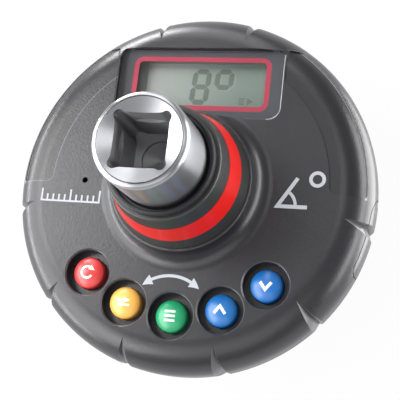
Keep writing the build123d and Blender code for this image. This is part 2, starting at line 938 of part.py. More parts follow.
# Battery

def battery_cell():
    shoulder = cell_tip_radius - cell_nub_length
    nub = radial_rod(cell_nub_radius, shoulder, cell_tip_radius, door_z)
    return radial_rod(cell_radius, cell_start, shoulder, door_z) + nub


def battery_holder():
    """Tube for the cell, with a closed inner end and a flange behind the door."""
    holder = radial_rod(holder_radius, holder_start, holder_mouth_radius, door_z)
    flange_start = holder_mouth_radius - holder_flange_thickness
    flange_width = door_width + 2 * holder_flange_lap
    top = door_low_z + door_height
    holder += radial_block(flange_start, holder_mouth_radius, flange_width, door_low_z, top)
    holder &= case_form(wall + spigot_clearance)
    return holder - radial_rod(holder_bore, spring_start, far, door_z)


def battery_spring():
    """Bent sheet contact: a foot on the holder's end wall and a sprung arm on the cell."""
    low = -cell_spring_reach
    foot = spring_start + cell_spring_sheet
    section = make_face(Polyline(
        (spring_start, low),
        (spring_start, cell_spring_reach),
        (foot, cell_spring_reach),
        (foot, low + cell_spring_sheet),
        (cell_start - cell_spring_sheet, cell_spring_sheet),
        (cell_start - cell_spring_sheet, cell_spring_reach),
        (cell_start, cell_spring_reach),
        (cell_start, 0),
        (foot, low),
        close=True,
    ))
    strip = extrude(Plane.XZ * section, cell_spring_width / 2, both=True)
    return Rot(0, 0, door_angle) * Pos(0, 0, door_z) * strip


def battery_door():
    """Curved door in the side wall, with a pad for its contact and two lugs."""
    skin = (case_form(0) - case_form(door_wall)) & door_prism(door_gap, nose_centre, far)
    inner_form = case_form(door_wall / 2)
    backing = radial_rod(door_pad_radius, pad_start, case_radius, door_z)
    start = holder_mouth_radius + door_gap
    low = door_z - door_lug_height / 2
    lug = radial_block(start, far, door_lug_thickness, low, low + door_lug_height, 0)
    for side in (-1, 1):
        centre = side * (door_width / 2 - door_lug_inset)
        backing += Rot(0, 0, door_angle) * Pos(0, centre, 0) * lug
    door = skin + (backing & inner_form)
    pry = Pos(0, door_width / 2 - door_gap, 0) * radial_rod(door_pry_radius, nose_centre, far, door_z, 0)
    door -= Rot(0, 0, door_angle) * pry
    for notch in grip_notches():
        door -= notch
    return door


def door_contact():
    return radial_rod(door_contact_radius, contact_start, pad_start, door_z)


# Screws

def case_screws():
    seat = rear_z + case_screw_sink
    head = (screw_head_radius, screw_head_height, screw_key, screw_key_depth)
    return [cap_screw(place, seat, case_screw_length, case_screw_radius, *head)
            for place in case_screw_places()]


def flange_screws():
    seat = rear_z + flange_screw_sink
    head = (screw_head_radius, screw_head_height, screw_key, screw_key_depth)
    return [cap_screw(place, seat, flange_screw_length, flange_screw_radius, *head)
            for place in flange_screw_places()]


def board_screws():
    head = (board_screw_head_radius, board_screw_head_height, board_screw_key, board_screw_key_depth)
    return [cap_screw(place, board_back_z, board_screw_length, board_screw_radius, *head)
            for place in board_screw_places()]


# Every piece by the name of its file

pieces = {
    "torsion_shaft": torsion_shaft(),
    "catch_ball": catch_ball(),
    "catch_spring": catch_spring(),
    "strain_gauges": strain_gauges(),
    "gauge_ribbon": gauge_ribbon(),
    "front_cover": front_cover(),
    "rear_cover": rear_cover(),
    "turret_sleeve": turret_sleeve(),
    "colour_band": colour_band(),
    "front_seal": front_seal(),
    "rear_ring": rear_ring(),
    "display_lens": display_lens(),
    "display_mask": display_mask(),
    "lcd_panel": lcd_panel(),
    "lcd_frame": lcd_frame(),
    "zebra_strips": zebra_strips(),
    "main_board": main_board(),
    "board_chips": board_chips(),
    "gyro_sensor": gyro_sensor(),
    "buzzer": buzzer(),
    "ribbon_socket": ribbon_socket(),
    "switch_bodies": switch_bodies(),
    "battery_cell": battery_cell(),
    "battery_holder": battery_holder(),
    "battery_spring": battery_spring(),
    "battery_door": battery_door(),
    "door_contact": door_contact(),
    "case_screws": case_screws(),
    "flange_screws": flange_screws(),
    "board_screws": board_screws(),
}
for name, place in zip(button_names, button_places()):
    pieces[name + "_button"] = button_cap(place)
    pieces[name + "_switch_stem"] = switch_stem(place)

os.makedirs("parts", exist_ok=True)
for name, piece in pieces.items():
    shape = Compound(children=piece) if isinstance(piece, list) else piece
    export_step(shape, "parts/" + name + ".step")
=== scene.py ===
# %% [markdown]
# # Dressing a digital torque tester
# This lesson starts from the finished engineering model of a torque tester and gives it its looks. The
# model already has every solid in its true place, so nothing here moves or resizes one. What is left for
# Blender is what a toolmaker's drawing doesn't hold: the grain of the moulded case, the turning marks on
# the steel, the segments of the display, and the marks printed on the face and the keys.

# %% Load the model
import math
import bpy
import numpy as np
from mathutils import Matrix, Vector


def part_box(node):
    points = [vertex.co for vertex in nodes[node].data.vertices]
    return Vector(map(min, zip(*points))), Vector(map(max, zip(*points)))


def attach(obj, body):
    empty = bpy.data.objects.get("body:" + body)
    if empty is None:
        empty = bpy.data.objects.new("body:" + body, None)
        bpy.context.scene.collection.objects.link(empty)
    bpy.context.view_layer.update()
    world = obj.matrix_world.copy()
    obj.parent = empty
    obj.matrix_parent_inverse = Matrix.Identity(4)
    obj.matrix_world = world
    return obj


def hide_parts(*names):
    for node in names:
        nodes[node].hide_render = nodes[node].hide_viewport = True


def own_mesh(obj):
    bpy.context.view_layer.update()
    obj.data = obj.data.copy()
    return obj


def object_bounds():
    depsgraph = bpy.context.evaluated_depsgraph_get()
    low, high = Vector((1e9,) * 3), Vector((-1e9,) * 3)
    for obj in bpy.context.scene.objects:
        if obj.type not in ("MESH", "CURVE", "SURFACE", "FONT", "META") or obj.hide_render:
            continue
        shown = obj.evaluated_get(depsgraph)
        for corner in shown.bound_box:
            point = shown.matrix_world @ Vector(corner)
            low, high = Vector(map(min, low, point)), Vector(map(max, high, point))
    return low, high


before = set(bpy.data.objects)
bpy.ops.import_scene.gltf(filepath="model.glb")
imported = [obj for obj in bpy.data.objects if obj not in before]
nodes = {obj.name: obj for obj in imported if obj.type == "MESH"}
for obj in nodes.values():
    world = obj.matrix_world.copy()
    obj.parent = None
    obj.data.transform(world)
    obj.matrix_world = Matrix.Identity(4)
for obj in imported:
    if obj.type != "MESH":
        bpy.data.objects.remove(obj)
cad_box = [list(corner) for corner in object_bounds()]

# %% [markdown]
# ## Units and heights
# Blender works in metres, but a maker thinks of such an object in millimetres. Every size of the object
# is therefore written in millimetres and multiplied by one constant where it is used. The camera and the
# lamps stay in metres. Most heights come from the solids themselves. The flat face and the round fillet
# that leads from it up to the turret are only parts of the front cover, whose box can't tell where they
# are, so their sizes are written down.

# %% Heights read from the solids
MM = 0.001


def top_of(node):
    """Height of a solid's highest point, in millimetres."""
    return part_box(node)[1].z / MM


FACE_Z, FILLET_FOOT, FILLET_RADIUS = 28.5, 23.2, 4.5
cap_z = top_of("memory_button")
glass_z = top_of("lcd_panel")
tip_z = top_of("torsion_shaft")
print("caps", round(cap_z, 2), "display glass", round(glass_z, 2), "shaft's end", round(tip_z, 2))

# %% [markdown]
# ## The camera
# The photograph looks down on the face from the lower right with a long lens. The place and the turn of
# the camera were found by fitting the case's outline, the keys and the display window to the picture. A
# long lens keeps circles nearly round.

# %% Camera
LENS, SENSOR_WIDTH = 89.966, 36.0
CAMERA_PLACE = (0.07252, -0.06030, 0.27021)
CAMERA_TURN = (14.39317, 14.19715, 6.64487)


def put_in_scene(name, data):
    """A new object in the scene, made from a camera, a lamp or a mesh."""
    thing = bpy.data.objects.new(name, data)
    bpy.context.scene.collection.objects.link(thing)
    return thing


camera_data = bpy.data.cameras.new("camera")
camera_data.lens = LENS
camera_data.sensor_width = SENSOR_WIDTH
camera = put_in_scene("camera", camera_data)
camera.location = CAMERA_PLACE
camera.rotation_euler = [math.radians(angle) for angle in CAMERA_TURN]
bpy.context.scene.camera = camera
print("camera at", CAMERA_PLACE)

# %% [markdown]
# ## Small tools for node trees
# A material in Blender is a network of nodes. Adding a node, setting its fields and joining its sockets
# takes many lines by hand, so one function does all three. An input that is given a socket is joined to
# it, and one that is given a number takes the number.

# %% Node helpers
def add(tree, kind, inputs=None, **fields):
    """Adds one node to a tree, sets its fields, and joins or fills its inputs."""
    node = tree.nodes.new(kind)
    for field, value in fields.items():
        setattr(node, field, value)
    for place, value in (inputs or {}).items():
        if isinstance(value, bpy.types.NodeSocket):
            tree.links.new(value, node.inputs[place])
        else:
            node.inputs[place].default_value = value
    return node


def maths(tree, operation, *values):
    """One arithmetic node, and its output."""
    return add(tree, "ShaderNodeMath", dict(enumerate(values)), operation=operation).outputs[0]


def mix_colours(tree, share, first, second):
    """Mixes two colours, the first at a share of 0 and the second at 1."""
    return add(tree, "ShaderNodeMix", {0: share, 6: first, 7: second}, data_type="RGBA").outputs[2]


def paint(red, green, blue):
    """A colour as it is read from a screen, from 0 to 255, turned into the linear values of a shader."""
    screen = np.array([red, green, blue]) / 255
    linear = np.where(screen <= 0.04045, screen / 12.92, ((screen + 0.055) / 1.055) ** 2.4)
    return (*linear.tolist(), 1.0)


def new_material(name):
    """A material with its node tree and its shader."""
    material = bpy.data.materials.new(name)
    material.use_nodes = True
    return material, material.node_tree, material.node_tree.nodes["Principled BSDF"]


print("mid grey is", round(paint(128, 128, 128)[0], 3))

# %% [markdown]
# ## Floor and studio light
# The object stands on the end of its male square. Around it is a pale floor, and the background of the
# photograph is pure white. More lamps could make the floor white, but they would bleach the object too. So
# rays that come from the camera, from a mirror-like surface or through the lens are shown a mostly white
# floor, and all other rays meet a matt floor that still takes the shadow.

# %% Floor
WHITE_SHARE, FLOOR_REACH = 0.93, 3.0
MATT_GREY, MATT_ROUGHNESS = (0.8, 0.8, 0.8, 1), 0.9


def floor_material():
    """Matt floor that looks nearly white to the camera and in reflections."""
    material, tree, matt = new_material("pale_floor")
    matt.inputs["Base Color"].default_value = MATT_GREY
    matt.inputs["Roughness"].default_value = MATT_ROUGHNESS
    rays = add(tree, "ShaderNodeLightPath").outputs
    seen = maths(tree, "ADD", rays["Is Camera Ray"], rays["Is Glossy Ray"])
    seen = maths(tree, "ADD", seen, rays["Is Transmission Ray"])
    share = maths(tree, "MULTIPLY", maths(tree, "MINIMUM", seen, 1.0), WHITE_SHARE)
    white = add(tree, "ShaderNodeEmission", {"Strength": 1.0})
    mixed = add(tree, "ShaderNodeMixShader", {0: share, 1: matt.outputs[0], 2: white.outputs[0]})
    tree.links.new(mixed.outputs[0], tree.nodes["Material Output"].inputs["Surface"])
    return material


floor_z = cad_box[0][2]
floor_mesh = bpy.data.meshes.new("floor")
corners = [(x * FLOOR_REACH, y * FLOOR_REACH, floor_z) for x, y in ((-1, -1), (1, -1), (1, 1), (-1, 1))]
floor_mesh.from_pydata(corners, [], [(0, 1, 2, 3)])
floor_mesh.materials.append(floor_material())
floor = put_in_scene("floor", floor_mesh)
print("floor at", round(floor_z, 4))

# %% [markdown]
# A dark glossy case shows its lamps rather than its own colour, so its highlights tell where the lamps
# stood. A wide soft box at the left makes that side of the face shine, and a small strong one above it
# gives the shine its core. Low boxes at the left, behind and at the right draw the bright lines along the
# shoulder, and weak ones from above and in front keep the face and the keys from going black. None stands
# where the flat lens would mirror it to the camera. The steep right wall mirrors only what lies below it,
# so a small light table lies on the floor there, unseen by the camera.

# %% Lamps
LAMP_DISTANCE = 0.75
AIM = np.array([0.0, 0.0, 0.03])
LAMPS = {
    "key_box": (160, 56, 0.25, 0.22, 1.6),
    "left_wall": (195, 35, 1.20, 0.52, 7.9),
    "left_strip": (186, 4.4, 1.14, 0.09, 5.2),
    "rear_left": (121, 8, 0.28, 0.25, 3.8),
    "right_wall": (10, 8, 1.10, 0.20, 5.0),
    "top_box": (100, 35, 0.30, 0.60, 1.4),
    "roof_box": (63, 73, 0.20, 0.20, 0.3),
    "front_left": (265, 48, 1.00, 0.50, 1.8),
}
TABLE_SIZE, TABLE_POWER = (0.20, 0.13), 0.5
TABLE_CENTRE, TABLE_LIFT = (0.176, 0.035), 0.001


def area_lamp(name, width, height, power):
    """Rectangular lamp, in metres and watts."""
    lamp = bpy.data.lights.new(name, "AREA")
    lamp.shape = "RECTANGLE"
    lamp.size, lamp.size_y = width, height
    lamp.energy = power
    return put_in_scene(name, lamp)


def soft_box(name, azimuth, elevation, width, height, power):
    """Lamp that faces the object, at angles in degrees from +X and from the floor."""
    turn, rise = math.radians(azimuth), math.radians(elevation)
    away = Vector((math.cos(rise) * math.cos(turn), math.cos(rise) * math.sin(turn), math.sin(rise)))
    box = area_lamp(name, width, height, power)
    box.location = AIM + np.array(away) * LAMP_DISTANCE
    box.rotation_euler = away.to_track_quat("Z", "Y").to_euler()


for name, values in LAMPS.items():
    soft_box(name, *values)
table = area_lamp("table_light", *TABLE_SIZE, TABLE_POWER)
table.location = (*TABLE_CENTRE, floor_z + TABLE_LIFT)
table.rotation_euler = (math.pi, 0.0, 0.0)
table.visible_camera = False
print(len(LAMPS), "soft boxes and a light table")

# %% [markdown]
# The room round the lamps is dim, and only the camera sees it white. So the background is as bright as in
# the photograph, and the case mirrors no white sky.

# %% Room
ROOM_LEVEL = 0.3
world = bpy.data.worlds.new("studio")
bpy.context.scene.world = world
world.use_nodes = True
room_tree = world.node_tree
room = room_tree.nodes["Background"].inputs
room["Color"].default_value = (1, 1, 1, 1)
to_camera = add(room_tree, "ShaderNodeLightPath").outputs["Is Camera Ray"]
strength = maths(room_tree, "MULTIPLY_ADD", to_camera, 1.0 - ROOM_LEVEL, ROOM_LEVEL)
room_tree.links.new(strength, room["Strength"])
bpy.context.scene.view_settings.view_transform = "Standard"
print("the room shines at", ROOM_LEVEL, "of its white")

# %% [markdown]
# ## Effects that several finishes share
# Grain, turning marks and mottling are each needed by more than one material. Each is built once, as a
# node group whose inputs every material can set for itself. All of them read Object coordinates, which
# are metres in the object's own frame, so a pattern stays on its part when the part moves.

# %% Patterns and their numbers
def object_place(tree):
    """The place on the surface in the object's own frame, in metres."""
    return add(tree, "ShaderNodeTexCoord").outputs["Object"]


def noise(tree, place, scale, detail, roughness=0.5):
    """A noise from 0 to 1, with its scale in waves to the metre."""
    look = {"Scale": scale, "Detail": detail, "Roughness": roughness}
    return add(tree, "ShaderNodeTexNoise", {"Vector": place, **look}).outputs[0]


def per_metre(group, size):
    """Turns a size in millimetres into the scale of a noise."""
    return maths(group, "DIVIDE", 1 / MM, size)


def spread_round(group, middle, spread, share):
    """A value that strays from its middle by up to the spread, as a share goes from 0 to 1."""
    centred = maths(group, "SUBTRACT", share, 0.5)
    return maths(group, "MULTIPLY_ADD", centred, maths(group, "MULTIPLY", spread, 2.0), middle)


# %% [markdown]
# A group's inputs are declared first, each with the value that it has until a material sets it. Inside,
# one node hands the values in and another one takes the results out.

# %% Start and end of a node group
KINDS = {3: "Vector", 4: "Color"}
RESULTS = {"Colour": "Color", "Roughness": "Float", "Normal": "Vector"}


def new_group(name, inputs):
    """A shader group and the outputs of its input node. A first value tells the kind of its socket."""
    group = bpy.data.node_groups.new(name, "ShaderNodeTree")
    for label, value in inputs.items():
        kind = "NodeSocket" + KINDS.get(np.size(value), "Float")
        group.interface.new_socket(name=label, in_out="INPUT", socket_type=kind).default_value = value
    for label, kind in RESULTS.items():
        group.interface.new_socket(name=label, in_out="OUTPUT", socket_type="NodeSocket" + kind)
    return group, add(group, "NodeGroupInput").outputs


def finish_group(group, given, colour, share, height):
    """Joins a colour, a roughness that follows a share, and a bump that follows a height to the outputs."""
    depth = maths(group, "MULTIPLY", given["Depth"], MM)
    bump = add(group, "ShaderNodeBump", {"Strength": 1.0, "Height": height, "Distance": depth})
    rough = spread_round(group, given["Roughness"], given["Roughness Spread"], share)
    end = add(group, "NodeGroupOutput")
    for label, socket in zip(RESULTS, (colour, rough, bump.outputs[0])):
        group.links.new(socket, end.inputs[label])
    print(group.name, "takes", ", ".join(socket.name for socket in given if socket.name))
    return group


def clouded(group, given, fine, clouds):
    """Ends a group whose tone and roughness follow a fine noise and a slow one in equal parts."""
    both = maths(group, "MULTIPLY_ADD", clouds, 0.5, maths(group, "MULTIPLY", fine, 0.5))
    shade = spread_round(group, 1.0, given["Tone Spread"], both)
    colour = add(group, "ShaderNodeVectorMath", {0: given["Colour"], "Scale": shade}, operation="SCALE")
    return finish_group(group, given, colour.outputs[0], both, fine)


print("each group gives", *RESULTS)

# %% [markdown]
# **Moulded grain.** The tool that a plastic case is moulded in is spark-eroded, which leaves a fine
# pebbled skin. A fine noise gives the pebbles, and a slow one the cloudy patches where the skin shines a
# little more or less. The pebbles go into a bump, because they are far too small to be modelled.

# %% Moulded grain
GRAIN_CLOUDS = 60.0


def make_grain():
    """Group of fine pebbles and slow clouds."""
    group, given = new_group("moulded grain", {
        "Colour": (0.5, 0.5, 0.5, 1), "Tone Spread": 0.1, "Grain": 0.4, "Depth": 0.03,
        "Roughness": 0.5, "Roughness Spread": 0.05})
    place = object_place(group)
    pebbles = noise(group, place, per_metre(group, given["Grain"]), 2.0, 0.6)
    return clouded(group, given, pebbles, noise(group, place, GRAIN_CLOUDS, 3.0))


grain = make_grain()

# %% [markdown]
# **Turning marks.** A lathe leaves rings round the axis: circles on a flat end and hoops on a round wall.
# Both depend only on the distance from the axis and on the height, so a noise that reads those two
# numbers alone draws both at once. A second noise in the plain coordinates breaks the rings up a little.

# %% Turning marks
TURNING_CLOUDS = 150.0


def make_turning():
    """Group of rings round the axis and slow clouds."""
    group, given = new_group("turning marks", {
        "Colour": (0.7, 0.7, 0.7, 1), "Tone Spread": 0.05, "Pitch": 0.3, "Depth": 0.003,
        "Roughness": 0.2, "Roughness Spread": 0.08})
    place = object_place(group)
    parts = add(group, "ShaderNodeSeparateXYZ", {0: place}).outputs
    squares = [maths(group, "POWER", parts[axis], 2.0) for axis in ("X", "Y")]
    radius = maths(group, "SQRT", maths(group, "ADD", *squares))
    ring = add(group, "ShaderNodeCombineXYZ", {"X": radius, "Y": parts["Z"]}).outputs[0]
    marks = noise(group, ring, per_metre(group, given["Pitch"]), 2.0)
    return clouded(group, given, marks, noise(group, place, TURNING_CLOUDS, 2.0))


turning = make_turning()

# %% [markdown]
# **Two tones.** Laminate, film, plated sheet and the ink of the display change slowly between two tones of
# one colour. The group mixes them by a noise that can be stretched along any axis, which also gives the
# lines of rolled sheet.

# %% Two tones
TONE_RANGE = (0.35, 0.65)


def ramp(tree, value, low, high, start=0.0, end=1.0):
    """Goes from start to end as a value goes from low to high."""
    limits = {"From Min": low, "From Max": high, "To Min": start, "To Max": end}
    return add(tree, "ShaderNodeMapRange", {"Value": value, **limits}).outputs[0]


def make_tones():
    """Group that mixes two tones by a noise, stretched or not."""
    group, given = new_group("two tones", {
        "First": (0.5, 0.5, 0.5, 1), "Second": (0.4, 0.4, 0.4, 1), "Size": 1.0, "Stretch": (1, 1, 1),
        "Depth": 0.005, "Roughness": 0.5, "Roughness Spread": 0.1})
    stretch = {0: object_place(group), 1: given["Stretch"]}
    drawn = add(group, "ShaderNodeVectorMath", stretch, operation="MULTIPLY").outputs[0]
    patches = noise(group, drawn, per_metre(group, given["Size"]), 3.0)
    colour = mix_colours(group, ramp(group, patches, *TONE_RANGE), given["First"], given["Second"])
    return finish_group(group, given, colour, patches, patches)


tones = make_tones()

# %% [markdown]
# ## One way to make a finish
# All finishes but the lens's are Principled shaders fed by one of the three groups. Numbers that are the
# same all over the surface, such as how metallic it is, go straight onto the shader's own sockets. The
# group only feeds what changes from place to place, and what a finish doesn't set keeps the group's first
# value. A finish that needs more than that is opened again and added to.

# %% Finish from a group
def finish(name, group, settings, constants=None):
    """New material whose shader takes colour, roughness and normal from a group."""
    material, tree, shader = new_material(name)
    for socket, value in (constants or {}).items():
        shader.inputs[socket].default_value = value
    source = add(tree, "ShaderNodeGroup", node_tree=group)
    for socket, value in settings.items():
        source.inputs[socket].default_value = value
    for result, socket in zip(RESULTS, ("Base Color", "Roughness", "Normal")):
        tree.links.new(source.outputs[result], shader.inputs[socket])
    return material


def opened(material):
    """A finish's node tree, the inputs of its shader and the outputs of its group."""
    tree = material.node_tree
    group = next(node for node in tree.nodes if node.type == "GROUP")
    return tree, tree.nodes["Principled BSDF"].inputs, group.outputs


def dress(material, *names):
    """Gives a material to solids by name."""
    for name in names:
        mesh = nodes[name].data
        mesh.materials.clear()
        mesh.materials.append(material)
    print(material.name, "on", ", ".join(names))


# %% [markdown]
# ## The case
# The two covers and the battery door are one dark grey glass-filled nylon, and the turret's sleeve is the
# same material a little greener. The colour is nearly black, because most of the grey that is seen on the
# face is the soft box shining on it. Rims, steps and notch flanks are painted lighter, as painted
# highlights, and the floor of each recess is painted darker, as painted shade. The edges could be marked by
# hand on the mesh, but the solid may change, so masks find them by place and by the way that a face looks.
# A mask is 1 on the marked part and 0 elsewhere, and masks are multiplied where all of them must hold.

# %% Masks in the object's own millimetres
def place_parts(tree):
    """X, Y and Z in metres, and the distance to the drive axis."""
    parts = add(tree, "ShaderNodeSeparateXYZ", {0: object_place(tree)}).outputs
    level = add(tree, "ShaderNodeCombineXYZ", {"X": parts["X"], "Y": parts["Y"]}).outputs[0]
    radius = add(tree, "ShaderNodeVectorMath", {0: level}, operation="LENGTH").outputs["Value"]
    return parts["X"], parts["Y"], parts["Z"], radius


def over(tree, value, limit):
    """1 where a value in metres is above a limit in millimetres."""
    return maths(tree, "GREATER_THAN", value, limit * MM)


def under(tree, value, limit):
    """1 where a value in metres is below a limit in millimetres."""
    return maths(tree, "LESS_THAN", value, limit * MM)


def between(tree, value, low, high):
    """1 where a value in metres lies between two limits in millimetres."""
    return maths(tree, "COMPARE", value, (low + high) / 2 * MM, (high - low) / 2 * MM)


def all_of(tree, first, *others):
    """1 where every mask is 1."""
    for other in others:
        first = maths(tree, "MULTIPLY", first, other)
    return first


def corner_distance(tree, across, along, rounding):
    """Distance to a rounded corner, from how far a point lies beyond its circle's centre both ways.

    It is the length of the two positive parts, plus the larger one where both are negative, less the
    rounding.
    """
    outside = [maths(tree, "POWER", maths(tree, "MAXIMUM", value, 0.0), 2.0) for value in (across, along)]
    inside = maths(tree, "MINIMUM", maths(tree, "MAXIMUM", across, along), 0.0)
    whole = maths(tree, "ADD", maths(tree, "SQRT", maths(tree, "ADD", *outside)), inside)
    return maths(tree, "SUBTRACT", whole, rounding * MM)


# %% [markdown]
# A shallow recess lies at each side of the display. Its outer edge is a circle round the axis, and its
# inner edge is another one that turns into the lower end by a small round corner. The distance to that
# second outline gives a thin rim round it and the floor inside it. The floor is painted darker, as painted
# shade, and the outer rim, the inner rim at the left only and the upper end at the right are painted
# lighter, as painted highlights.

# %% Edges and floor of the recesses
RECESS_INNER, RECESS_OUTER, RECESS_CORNER = 37.3, 46.6, 2.0
RECESS_LOW, RECESS_HIGH, RECESS_SIDE, RECESS_FOOT = -0.6, 38.2, 22.7, 18.0
RECESS_Y, RECESS_Z = (RECESS_LOW - 0.4, RECESS_HIGH), (RECESS_FOOT, FACE_Z + 0.1)
END_Y, END_Z = (RECESS_HIGH - 0.1, RECESS_HIGH + 0.3), (RECESS_FOOT, FACE_Z - 0.05)
OUTER_START, INNER_STOP = RECESS_OUTER - 0.5, 47.5
OUTER_RIM, INNER_RIM = (OUTER_START, RECESS_OUTER + 0.02), (-0.02, 0.3)


def recess_masks(tree, x, y, z, radius):
    """Painted shade on the recesses' floor; painted highlight on outer rim, left inner rim, right upper
    end.
    """
    beside = all_of(tree, over(tree, maths(tree, "ABSOLUTE", x), RECESS_SIDE),
                    between(tree, y, *RECESS_Y), between(tree, z, *RECESS_Z))
    across = maths(tree, "SUBTRACT", (RECESS_INNER + RECESS_CORNER) * MM, radius)
    along = maths(tree, "SUBTRACT", (RECESS_LOW + RECESS_CORNER) * MM, y)
    edge = corner_distance(tree, across, along, RECESS_CORNER)
    return {
        "hollow": all_of(tree, beside, under(tree, edge, 0.0), under(tree, radius, OUTER_START)),
        "outer": all_of(tree, beside, between(tree, radius, *OUTER_RIM)),
        "inner": all_of(tree, beside, between(tree, edge, *INNER_RIM), under(tree, radius, INNER_STOP),
                        under(tree, x, 0.0)),
        "end": all_of(tree, over(tree, x, RECESS_SIDE), between(tree, y, *END_Y), between(tree, z, *END_Z)),
    }


print("a recess runs from y", RECESS_LOW, "to", RECESS_HIGH)

# %% [markdown]
# The rim of the display window is found by distance too, and gets a painted highlight at its right and
# round its lower right corner. The flank of a grip notch is found by its direction, and gets a painted
# highlight too: a round wall looks away from the axis, and a flank looks round it.

# %% Window rim and notch flanks
WINDOW_HALF_WIDTH, WINDOW_LOW, WINDOW_CORNER, WINDOW_RIM = 22.7, 18.75, 3.0, (-0.05, 0.36)
# The window's rim gets its painted highlight within these limits.
HIGHLIGHT_FROM_X, HIGHLIGHT_TO_Y, HIGHLIGHT_FROM_Z = 19.4, 36.5, 26.5
# Notch flanks that these limits find get a painted highlight.
FLANK_LEAN, FLANK_START, FLANK_Z = 16.0, 42.5, (4.0, FACE_Z - 0.3)


def window_highlight_mask(tree, x, y, z):
    """Where the window's rim gets a painted highlight: at its right and round its lower right corner."""
    aside = maths(tree, "SUBTRACT", x, (WINDOW_HALF_WIDTH - WINDOW_CORNER) * MM)
    below = maths(tree, "SUBTRACT", (WINDOW_LOW + WINDOW_CORNER) * MM, y)
    distance = corner_distance(tree, aside, below, WINDOW_CORNER)
    return all_of(tree, between(tree, distance, *WINDOW_RIM), over(tree, x, HIGHLIGHT_FROM_X),
                  under(tree, y, HIGHLIGHT_TO_Y), over(tree, z, HIGHLIGHT_FROM_Z))


def flank_highlight_mask(tree, facing, x, y, z, radius):
    """Painted highlight on side-wall faces whose normal has a large part along (-y, x), the way round the
    axis.
    """
    backward = maths(tree, "MULTIPLY", y, -1.0)
    round_way = add(tree, "ShaderNodeCombineXYZ", {"X": backward, "Y": x}).outputs[0]
    sideways = add(tree, "ShaderNodeVectorMath", {0: facing, 1: round_way}, operation="DOT_PRODUCT")
    lean = maths(tree, "ABSOLUTE", sideways.outputs["Value"])
    return all_of(tree, over(tree, lean, FLANK_LEAN), over(tree, radius, FLANK_START),
                  between(tree, z, *FLANK_Z))


print("the window is", 2 * WINDOW_HALF_WIDTH, "wide")

# %% [markdown]
# The rims of the key wells are the faces just below the flat face that don't look straight up. Then each
# mask mixes its own painted tone over the colour of the grain, one after the other: a lighter one as a
# painted highlight on each rim, step and flank, and a darker one as painted shade on the recesses' floor.

# %% Case
WELL_SLOPE, WELL_REACH, WELL_Z = 0.93, 42.5, (FACE_Z - 0.42, FACE_Z - 0.02)
# Painted tones: the lighter ones are painted highlights, and the darkest is painted shade on the recesses'
# floor.
CASE_PAINTED_LIGHT_AND_SHADE = {
    "hollow": (30, 30, 33), "well": (62, 62, 66), "outer": (160, 160, 165), "inner": (84, 84, 89),
    "window": (132, 132, 138), "flank": (84, 84, 88), "end": (66, 66, 70),
}


def case_material():
    """Dark moulded plastic, with painted highlights on its edges and painted shade on the floor of its
    recesses.
    """
    material = finish("case_plastic", grain, {
        "Colour": paint(37, 36, 41), "Tone Spread": 0.3, "Grain": 0.6, "Depth": 0.035,
        "Roughness": 0.32, "Roughness Spread": 0.08}, {"Specular IOR Level": 0.7})
    tree, shader, source = opened(material)
    x, y, z, radius = place_parts(tree)
    facing = add(tree, "ShaderNodeNewGeometry").outputs["True Normal"]
    slope = add(tree, "ShaderNodeSeparateXYZ", {0: facing}).outputs["Z"]
    masks = recess_masks(tree, x, y, z, radius)
    masks["well"] = all_of(tree, maths(tree, "LESS_THAN", slope, WELL_SLOPE), between(tree, z, *WELL_Z),
                           under(tree, y, 0.0), under(tree, radius, WELL_REACH))
    masks["window"] = window_highlight_mask(tree, x, y, z)
    masks["flank"] = flank_highlight_mask(tree, facing, x, y, z, radius)
    colour = source["Colour"]
    for name, tone in CASE_PAINTED_LIGHT_AND_SHADE.items():
        colour = mix_colours(tree, masks[name], colour, paint(*tone))
    tree.links.new(colour, shader["Base Color"])
    return material


dress(case_material(), "front_cover", "rear_cover", "battery_door")

# %% [markdown]
# The turret, its band and the rubber rings get no painted highlights or shade, so the plain finish does for
# them.

# %% Turret, band and rings
dress(finish("turret_plastic", grain, {
    "Colour": paint(40, 41, 40), "Tone Spread": 0.12, "Grain": 0.5, "Depth": 0.006,
    "Roughness": 0.36}, {"Specular IOR Level": 0.7}), "turret_sleeve")
dress(finish("band_plastic", grain, {
    "Colour": paint(207, 23, 16), "Tone Spread": 0.05, "Grain": 0.7, "Depth": 0.004,
    "Roughness": 0.3}), "colour_band")
dress(finish("seal_rubber", grain, {
    "Colour": paint(30, 30, 33), "Tone Spread": 0.2, "Grain": 0.6, "Depth": 0.006,
    "Roughness": 0.46, "Roughness Spread": 0.1}), "front_seal", "rear_ring")

# %% [markdown]
# ## Steel
# The drive shaft is one turned piece, plated and then lightly blasted inside the socket. A square mask
# between two heights tells the duller socket from the bright collar, and a ring at the tip is painted as a
# thin dark line round the inner edge of the rim. Turning leaves grooves that run round the axis, so light
# spreads across them and hardly along them. That is what the tangent and the quarter turn of the
# anisotropy say, and it is why a turned end shows its lamps as sectors.

# %% Shaft, ball and screws
SOCKET_HALF, SOCKET_FOOT, SOCKET_DULLING = 7.6, 50.0, 0.16
RIM_DEPTH, RIM_LINE = 1.05, (10.05, 10.35)


